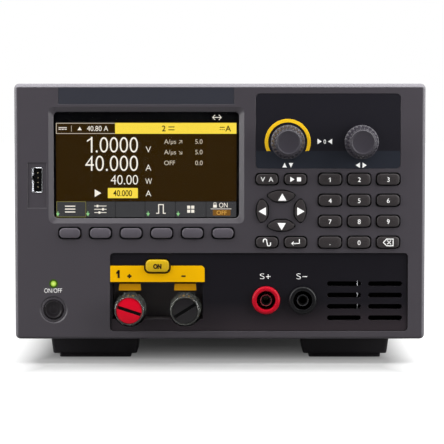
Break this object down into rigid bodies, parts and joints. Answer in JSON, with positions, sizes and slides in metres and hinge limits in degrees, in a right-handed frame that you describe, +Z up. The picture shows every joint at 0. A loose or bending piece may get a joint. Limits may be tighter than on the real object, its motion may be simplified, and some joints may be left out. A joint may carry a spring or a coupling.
{
  "type": "dc electronic load",
  "caption": "Half-rack bench dc electronic load with a colour display, soft keys, keypad, two knobs, screwed input posts, sense jacks and a fan-cooled sheet metal case on feet.",
  "frame": {"origin": "on the table under the middle of the instrument, z = 0 at the soles", "axes": "+Z up, front panel faces -Y, +X to the right seen from the front"},
  "size_m": [0.2128, 0.368, 0.1458],
  "materials": {
    "bezel_plastic": "fine moulded texture",
    "overlay_gloss": "gloss",
    "window_clear": "polished clear sheet",
    "lcd_metal": "satin",
    "board_green": "solder mask",
    "lamp_green": "clear green light pipe",
    "port_metal": "nickel plated",
    "terminal_plastic": "satin",
    "label_yellow": "satin",
    "contact_brass": "plated",
    "terminal_red": "satin",
    "terminal_black": "satin",
    "cover_paint": "fine textured paint",
    "chassis_steel": "zinc plated",
    "foot_rubber": "matte",
    "sink_aluminium": "extruded",
    "fan_plastic": "satin",
    "inlet_plastic": "satin",
    "screw_steel": "zinc plated",
    "soft_key_plastic": "satin",
    "key_plastic": "satin",
    "on_key_yellow": "satin",
    "knob_plastic": "satin",
    "collar_clear": "clear moulded"
  },
  "bodies": {
    "instrument": {"front_bezel": "bezel_plastic", "front_overlays": "overlay_gloss", "display_window": "window_clear", "lcd_module": "lcd_metal", "front_board": "board_green", "power_lamp": "lamp_green", "usb_socket": "port_metal", "terminal_panel": "terminal_plastic", "terminal_label": "label_yellow", "terminal_metal": "contact_brass", "sense_jack_pos": "terminal_red", "sense_jack_neg": "terminal_black", "top_cover": "cover_paint", "chassis": "chassis_steel", "feet": "foot_rubber", "heatsink": "sink_aluminium", "main_board": "board_green", "fan_frame": "fan_plastic", "ac_inlet": "inlet_plastic", "rear_ports": "port_metal", "screws": "screw_steel"},
    "softkey_1_body": {"softkey_1": "soft_key_plastic"},
    "softkey_2_body": {"softkey_2": "soft_key_plastic"},
    "softkey_3_body": {"softkey_3": "soft_key_plastic"},
    "softkey_4_body": {"softkey_4": "soft_key_plastic"},
    "softkey_5_body": {"softkey_5": "soft_key_plastic"},
    "softkey_6_body": {"softkey_6": "soft_key_plastic"},
    "key_1_body": {"key_1": "key_plastic"},
    "key_2_body": {"key_2": "key_plastic"},
    "key_3_body": {"key_3": "key_plastic"},
    "key_4_body": {"key_4": "key_plastic"},
    "key_5_body": {"key_5": "key_plastic"},
    "key_6_body": {"key_6": "key_plastic"},
    "key_7_body": {"key_7": "key_plastic"},
    "key_8_body": {"key_8": "key_plastic"},
    "key_9_body": {"key_9": "key_plastic"},
    "key_point_body": {"key_point": "key_plastic"},
    "key_0_body": {"key_0": "key_plastic"},
    "key_back_body": {"key_back": "key_plastic"},
    "key_meter_body": {"key_meter": "key_plastic"},
    "key_list_body": {"key_list": "key_plastic"},
    "key_scope_body": {"key_scope": "key_plastic"},
    "key_enter_body": {"key_enter": "key_plastic"},
    "arrow_up_body": {"arrow_up": "key_plastic"},
    "arrow_down_body": {"arrow_down": "key_plastic"},
    "arrow_left_body": {"arrow_left": "key_plastic"},
    "arrow_right_body": {"arrow_right": "key_plastic"},
    "on_key_body": {"on_key": "on_key_yellow"},
    "power_button_body": {"power_button": "soft_key_plastic"},
    "shaft_left_body": {"encoder_shaft_left": "screw_steel"},
    "knob_left_body": {"knob_left": "knob_plastic"},
    "shaft_right_body": {"encoder_shaft_right": "screw_steel"},
    "knob_right_body": {"knob_right": "knob_plastic"},
    "washer_pos_body": {"post_washer_pos": "screw_steel"},
    "collar_pos_body": {"post_collar_pos": "collar_clear", "post_core_pos": "terminal_red"},
    "washer_neg_body": {"post_washer_neg": "screw_steel"},
    "collar_neg_body": {"post_collar_neg": "collar_clear", "post_core_neg": "terminal_black"},
    "fan_body": {"fan_rotor": "fan_plastic"}
  },
  "joints": [
    {"name": "softkey_1_press", "type": "slide", "parent": "instrument", "child": "softkey_1_body", "axis": [0, 1, 0], "range_m": [0, 0.0012], "stiffness_N_per_m": 300},
    {"name": "softkey_2_press", "type": "slide", "parent": "instrument", "child": "softkey_2_body", "axis": [0, 1, 0], "range_m": [0, 0.0012], "stiffness_N_per_m": 300},
    {"name": "softkey_3_press", "type": "slide", "parent": "instrument", "child": "softkey_3_body", "axis": [0, 1, 0], "range_m": [0, 0.0012], "stiffness_N_per_m": 300},
    {"name": "softkey_4_press", "type": "slide", "parent": "instrument", "child": "softkey_4_body", "axis": [0, 1, 0], "range_m": [0, 0.0012], "stiffness_N_per_m": 300},
    {"name": "softkey_5_press", "type": "slide", "parent": "instrument", "child": "softkey_5_body", "axis": [0, 1, 0], "range_m": [0, 0.0012], "stiffness_N_per_m": 300},
    {"name": "softkey_6_press", "type": "slide", "parent": "instrument", "child": "softkey_6_body", "axis": [0, 1, 0], "range_m": [0, 0.0012], "stiffness_N_per_m": 300},
    {"name": "key_1_press", "type": "slide", "parent": "instrument", "child": "key_1_body", "axis": [0, 1, 0], "range_m": [0, 0.0012], "stiffness_N_per_m": 300},
    {"name": "key_2_press", "type": "slide", "parent": "instrument", "child": "key_2_body", "axis": [0, 1, 0], "range_m": [0, 0.0012], "stiffness_N_per_m": 300},
    {"name": "key_3_press", "type": "slide", "parent": "instrument", "child": "key_3_body", "axis": [0, 1, 0], "range_m": [0, 0.0012], "stiffness_N_per_m": 300},
    {"name": "key_4_press", "type": "slide", "parent": "instrument", "child": "key_4_body", "axis": [0, 1, 0], "range_m": [0, 0.0012], "stiffness_N_per_m": 300},
    {"name": "key_5_press", "type": "slide", "parent": "instrument", "child": "key_5_body", "axis": [0, 1, 0], "range_m": [0, 0.0012], "stiffness_N_per_m": 300},
    {"name": "key_6_press", "type": "slide", "parent": "instrument", "child": "key_6_body", "axis": [0, 1, 0], "range_m": [0, 0.0012], "stiffness_N_per_m": 300},
    {"name": "key_7_press", "type": "slide", "parent": "instrument", "child": "key_7_body", "axis": [0, 1, 0], "range_m": [0, 0.0012], "stiffness_N_per_m": 300},
    {"name": "key_8_press", "type": "slide", "parent": "instrument", "child": "key_8_body", "axis": [0, 1, 0], "range_m": [0, 0.0012], "stiffness_N_per_m": 300},
    {"name": "key_9_press", "type": "slide", "parent": "instrument", "child": "key_9_body", "axis": [0, 1, 0], "range_m": [0, 0.0012], "stiffness_N_per_m": 300},
    {"name": "key_point_press", "type": "slide", "parent": "instrument", "child": "key_point_body", "axis": [0, 1, 0], "range_m": [0, 0.0012], "stiffness_N_per_m": 300},
    {"name": "key_0_press", "type": "slide", "parent": "instrument", "child": "key_0_body", "axis": [0, 1, 0], "range_m": [0, 0.0012], "stiffness_N_per_m": 300},
    {"name": "key_back_press", "type": "slide", "parent": "instrument", "child": "key_back_body", "axis": [0, 1, 0], "range_m": [0, 0.0012], "stiffness_N_per_m": 300},
    {"name": "key_meter_press", "type": "slide", "parent": "instrument", "child": "key_meter_body", "axis": [0, 1, 0], "range_m": [0, 0.0012], "stiffness_N_per_m": 300},
    {"name": "key_list_press", "type": "slide", "parent": "instrument", "child": "key_list_body", "axis": [0, 1, 0], "range_m": [0, 0.0012], "stiffness_N_per_m": 300},
    {"name": "key_scope_press", "type": "slide", "parent": "instrument", "child": "key_scope_body", "axis": [0, 1, 0], "range_m": [0, 0.0012], "stiffness_N_per_m": 300},
    {"name": "key_enter_press", "type": "slide", "parent": "instrument", "child": "key_enter_body", "axis": [0, 1, 0], "range_m": [0, 0.0012], "stiffness_N_per_m": 300},
    {"name": "arrow_up_press", "type": "slide", "parent": "instrument", "child": "arrow_up_body", "axis": [0, 1, 0], "range_m": [0, 0.0012], "stiffness_N_per_m": 300},
    {"name": "arrow_down_press", "type": "slide", "parent": "instrument", "child": "arrow_down_body", "axis": [0, 1, 0], "range_m": [0, 0.0012], "stiffness_N_per_m": 300},
    {"name": "arrow_left_press", "type": "slide", "parent": "instrument", "child": "arrow_left_body", "axis": [0, 1, 0], "range_m": [0, 0.0012], "stiffness_N_per_m": 300},
    {"name": "arrow_right_press", "type": "slide", "parent": "instrument", "child": "arrow_right_body", "axis": [0, 1, 0], "range_m": [0, 0.0012], "stiffness_N_per_m": 300},
    {"name": "on_key_press", "type": "slide", "parent": "instrument", "child": "on_key_body", "axis": [0, 1, 0], "range_m": [0, 0.0012], "stiffness_N_per_m": 300},
    {"name": "power_button_press", "type": "slide", "parent": "instrument", "child": "power_button_body", "axis": [0, 1, 0], "range_m": [0, 0.002], "stiffness_N_per_m": 400},
    {"name": "knob_left_push", "type": "slide", "parent": "instrument", "child": "shaft_left_body", "axis": [0, 1, 0], "range_m": [0, 0.0006], "stiffness_N_per_m": 1500},
    {"name": "knob_left_turn", "type": "hinge", "parent": "shaft_left_body", "child": "knob_left_body", "pos_m": [0.03515, -0.1775, 0.1157], "axis": [0, -1, 0], "continuous": true},
    {"name": "knob_right_push", "type": "slide", "parent": "instrument", "child": "shaft_right_body", "axis": [0, 1, 0], "range_m": [0, 0.0006], "stiffness_N_per_m": 1500},
    {"name": "knob_right_turn", "type": "hinge", "parent": "shaft_right_body", "child": "knob_right_body", "pos_m": [0.07325, -0.1775, 0.1157], "axis": [0, -1, 0], "continuous": true},
    {"name": "post_pos_travel", "type": "slide", "parent": "instrument", "child": "washer_pos_body", "axis": [0, -1, 0], "range_m": [0, 0.005]},
    {"name": "post_pos_turn", "type": "hinge", "parent": "washer_pos_body", "child": "collar_pos_body", "pos_m": [-0.04685, -0.1705, 0.0288], "axis": [0, -1, 0], "range_deg": [0, 1806]},
    {"name": "post_neg_travel", "type": "slide", "parent": "instrument", "child": "washer_neg_body", "axis": [0, -1, 0], "range_m": [0, 0.005]},
    {"name": "post_neg_turn", "type": "hinge", "parent": "washer_neg_body", "child": "collar_neg_body", "pos_m": [-0.01805, -0.1705, 0.0288], "axis": [0, -1, 0], "range_deg": [0, 1806]},
    {"name": "fan_turn", "type": "hinge", "parent": "instrument", "child": "fan_body", "pos_m": [0.048, 0.1655, 0.06405], "axis": [0, 1, 0], "continuous": true}
  ],
  "couplings": [
    {"joint": "post_pos_turn", "follows": "post_pos_travel", "rad_per_m": 6283.2},
    {"joint": "post_neg_turn", "follows": "post_neg_travel", "rad_per_m": 6283.2}
  ]
}
